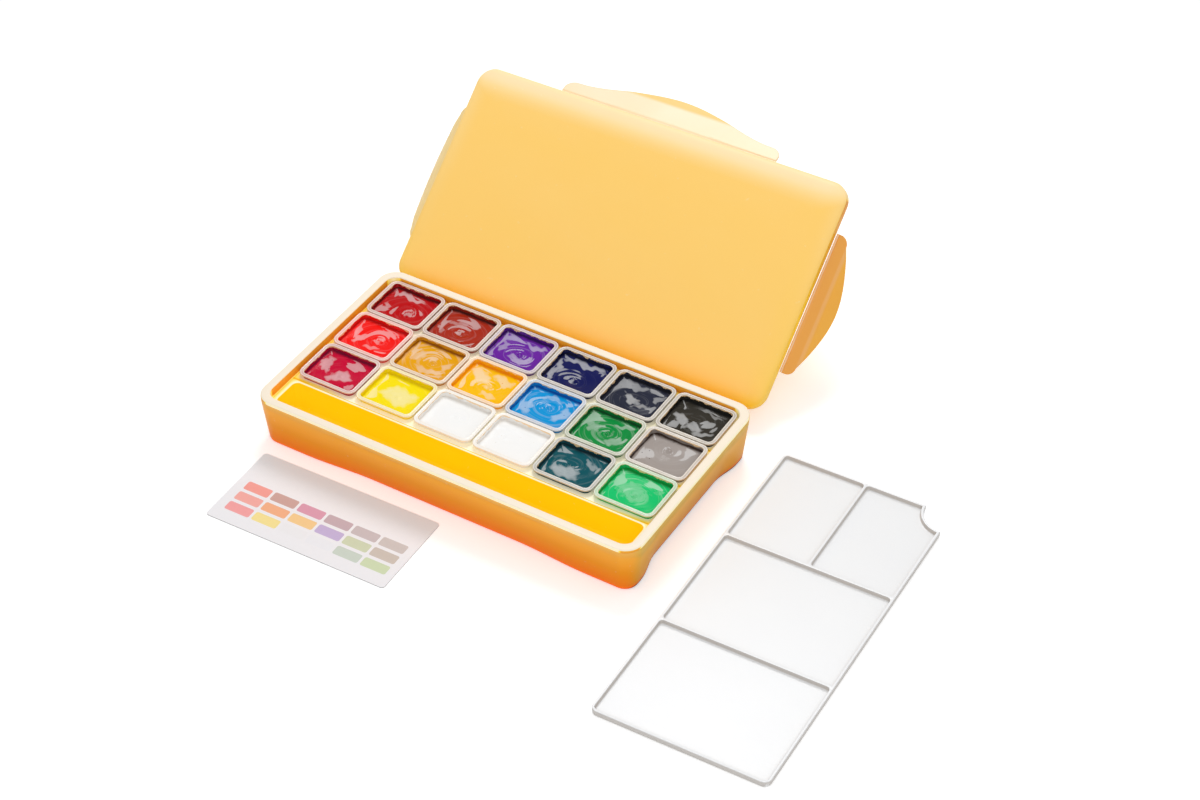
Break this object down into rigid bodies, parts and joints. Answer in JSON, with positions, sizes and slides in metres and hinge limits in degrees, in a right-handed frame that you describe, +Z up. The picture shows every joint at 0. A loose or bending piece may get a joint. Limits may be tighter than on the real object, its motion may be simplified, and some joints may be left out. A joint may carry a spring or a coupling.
{
  "type": "gouache paint set box",
  "caption": "Plastic case of square paint cups in a tray with a brush trough, its four-flap snap lid off and leaning behind, mixing palette and colour chart beside it.",
  "frame": {"origin": "middle of the case's underside, on the table", "axes": "+X along the case's long side to the right, +Y to the back where the lid stands, +Z up"},
  "size_m": [0.4622, 0.4325, 0.1209],
  "materials": {
    "case_amber": "moulded amber plastic, slightly translucent",
    "tray_cream": "moulded cream to amber plastic, slightly translucent",
    "lid_amber": "moulded light amber plastic, satin",
    "flap_amber": "moulded light amber plastic with thin flexing hinge line",
    "cup_clear": "soft whitish see-through plastic",
    "palette_white": "white satin plastic",
    "card_white": "coated paper with printed swatches",
    "paint_crimson": "wet paint paste, glossy",
    "paint_brown": "wet paint paste, glossy",
    "paint_violet": "wet paint paste, glossy",
    "paint_navy": "wet paint paste, glossy",
    "paint_blue_black": "wet paint paste, glossy",
    "paint_black": "wet paint paste, glossy",
    "paint_scarlet": "wet paint paste, glossy",
    "paint_ochre": "wet paint paste, glossy",
    "paint_orange_yellow": "wet paint paste, glossy",
    "paint_sky_blue": "wet paint paste, glossy",
    "paint_green": "wet paint paste, glossy",
    "paint_taupe": "wet paint paste, glossy",
    "paint_magenta": "wet paint paste, glossy",
    "paint_lemon": "wet paint paste, glossy",
    "paint_white_a": "wet paint paste, glossy",
    "paint_white_b": "wet paint paste, glossy",
    "paint_teal": "wet paint paste, glossy",
    "paint_light_green": "wet paint paste, glossy"
  },
  "bodies": {
    "case": {"base_case": "case_amber", "inner_tray": "tray_cream"},
    "filled_cup_01": {"cup_01": "cup_clear", "paint_01": "paint_crimson"},
    "filled_cup_02": {"cup_02": "cup_clear", "paint_02": "paint_brown"},
    "filled_cup_03": {"cup_03": "cup_clear", "paint_03": "paint_violet"},
    "filled_cup_04": {"cup_04": "cup_clear", "paint_04": "paint_navy"},
    "filled_cup_05": {"cup_05": "cup_clear", "paint_05": "paint_blue_black"},
    "filled_cup_06": {"cup_06": "cup_clear", "paint_06": "paint_black"},
    "filled_cup_07": {"cup_07": "cup_clear", "paint_07": "paint_scarlet"},
    "filled_cup_08": {"cup_08": "cup_clear", "paint_08": "paint_ochre"},
    "filled_cup_09": {"cup_09": "cup_clear", "paint_09": "paint_orange_yellow"},
    "filled_cup_10": {"cup_10": "cup_clear", "paint_10": "paint_sky_blue"},
    "filled_cup_11": {"cup_11": "cup_clear", "paint_11": "paint_green"},
    "filled_cup_12": {"cup_12": "cup_clear", "paint_12": "paint_taupe"},
    "filled_cup_13": {"cup_13": "cup_clear", "paint_13": "paint_magenta"},
    "filled_cup_14": {"cup_14": "cup_clear", "paint_14": "paint_lemon"},
    "filled_cup_15": {"cup_15": "cup_clear", "paint_15": "paint_white_a"},
    "filled_cup_16": {"cup_16": "cup_clear", "paint_16": "paint_white_b"},
    "filled_cup_17": {"cup_17": "cup_clear", "paint_17": "paint_teal"},
    "filled_cup_18": {"cup_18": "cup_clear", "paint_18": "paint_light_green"},
    "lid": {"lid_cover": "lid_amber"},
    "flap_rear": {"flap_rear": "flap_amber"},
    "flap_left": {"flap_left": "flap_amber"},
    "flap_front": {"flap_front": "flap_amber"},
    "flap_right": {"flap_right": "flap_amber"},
    "palette": {"mixing_palette": "palette_white"},
    "chart": {"colour_chart": "card_white"}
  },
  "joints": [
    {"name": "cup_01_lift", "type": "slide", "parent": "case", "child": "filled_cup_01", "axis": [0, 0, 1], "range_m": [0, 0.045]},
    {"name": "cup_02_lift", "type": "slide", "parent": "case", "child": "filled_cup_02", "axis": [0, 0, 1], "range_m": [0, 0.045]},
    {"name": "cup_03_lift", "type": "slide", "parent": "case", "child": "filled_cup_03", "axis": [0, 0, 1], "range_m": [0, 0.045]},
    {"name": "cup_04_lift", "type": "slide", "parent": "case", "child": "filled_cup_04", "axis": [0, 0, 1], "range_m": [0, 0.045]},
    {"name": "cup_05_lift", "type": "slide", "parent": "case", "child": "filled_cup_05", "axis": [0, 0, 1], "range_m": [0, 0.045]},
    {"name": "cup_06_lift", "type": "slide", "parent": "case", "child": "filled_cup_06", "axis": [0, 0, 1], "range_m": [0, 0.045]},
    {"name": "cup_07_lift", "type": "slide", "parent": "case", "child": "filled_cup_07", "axis": [0, 0, 1], "range_m": [0, 0.045]},
    {"name": "cup_08_lift", "type": "slide", "parent": "case", "child": "filled_cup_08", "axis": [0, 0, 1], "range_m": [0, 0.045]},
    {"name": "cup_09_lift", "type": "slide", "parent": "case", "child": "filled_cup_09", "axis": [0, 0, 1], "range_m": [0, 0.045]},
    {"name": "cup_10_lift", "type": "slide", "parent": "case", "child": "filled_cup_10", "axis": [0, 0, 1], "range_m": [0, 0.045]},
    {"name": "cup_11_lift", "type": "slide", "parent": "case", "child": "filled_cup_11", "axis": [0, 0, 1], "range_m": [0, 0.045]},
    {"name": "cup_12_lift", "type": "slide", "parent": "case", "child": "filled_cup_12", "axis": [0, 0, 1], "range_m": [0, 0.045]},
    {"name": "cup_13_lift", "type": "slide", "parent": "case", "child": "filled_cup_13", "axis": [0, 0, 1], "range_m": [0, 0.045]},
    {"name": "cup_14_lift", "type": "slide", "parent": "case", "child": "filled_cup_14", "axis": [0, 0, 1], "range_m": [0, 0.045]},
    {"name": "cup_15_lift", "type": "slide", "parent": "case", "child": "filled_cup_15", "axis": [0, 0, 1], "range_m": [0, 0.045]},
    {"name": "cup_16_lift", "type": "slide", "parent": "case", "child": "filled_cup_16", "axis": [0, 0, 1], "range_m": [0, 0.045]},
    {"name": "cup_17_lift", "type": "slide", "parent": "case", "child": "filled_cup_17", "axis": [0, 0, 1], "range_m": [0, 0.045]},
    {"name": "cup_18_lift", "type": "slide", "parent": "case", "child": "filled_cup_18", "axis": [0, 0, 1], "range_m": [0, 0.045]},
    {"name": "lid_lift", "type": "slide", "parent": "case", "child": "lid", "axis": [0, 0, 1], "range_m": [0, 0.08]},
    {"name": "flap_rear_hinge", "type": "hinge", "parent": "lid", "child": "flap_rear", "pos_m": [-0.01045, 0.22937, 0.1158], "axis": [-0.9999, -0.0129, 0], "range_deg": [-27, 63]},
    {"name": "flap_left_hinge", "type": "hinge", "parent": "lid", "child": "flap_left", "pos_m": [-0.15571, 0.16347, 0.06321], "axis": [0.01, -0.7727, -0.6347], "range_deg": [-38, 52]},
    {"name": "flap_front_hinge", "type": "hinge", "parent": "lid", "child": "flap_front", "pos_m": [-0.0088, 0.10134, 0.01063], "axis": [0.9999, 0.0129, 0], "range_deg": [0, 40]},
    {"name": "flap_right_hinge", "type": "hinge", "parent": "lid", "child": "flap_right", "pos_m": [0.13646, 0.16724, 0.06321], "axis": [-0.01, 0.7727, 0.6347], "range_deg": [-36, 54]},
    {"name": "palette_lift", "type": "slide", "parent": "case", "child": "palette", "axis": [0, 0, 1], "range_m": [0, 0.06]},
    {"name": "chart_lift", "type": "slide", "parent": "case", "child": "chart", "axis": [0, 0, 1], "range_m": [0, 0.04]}
  ]
}
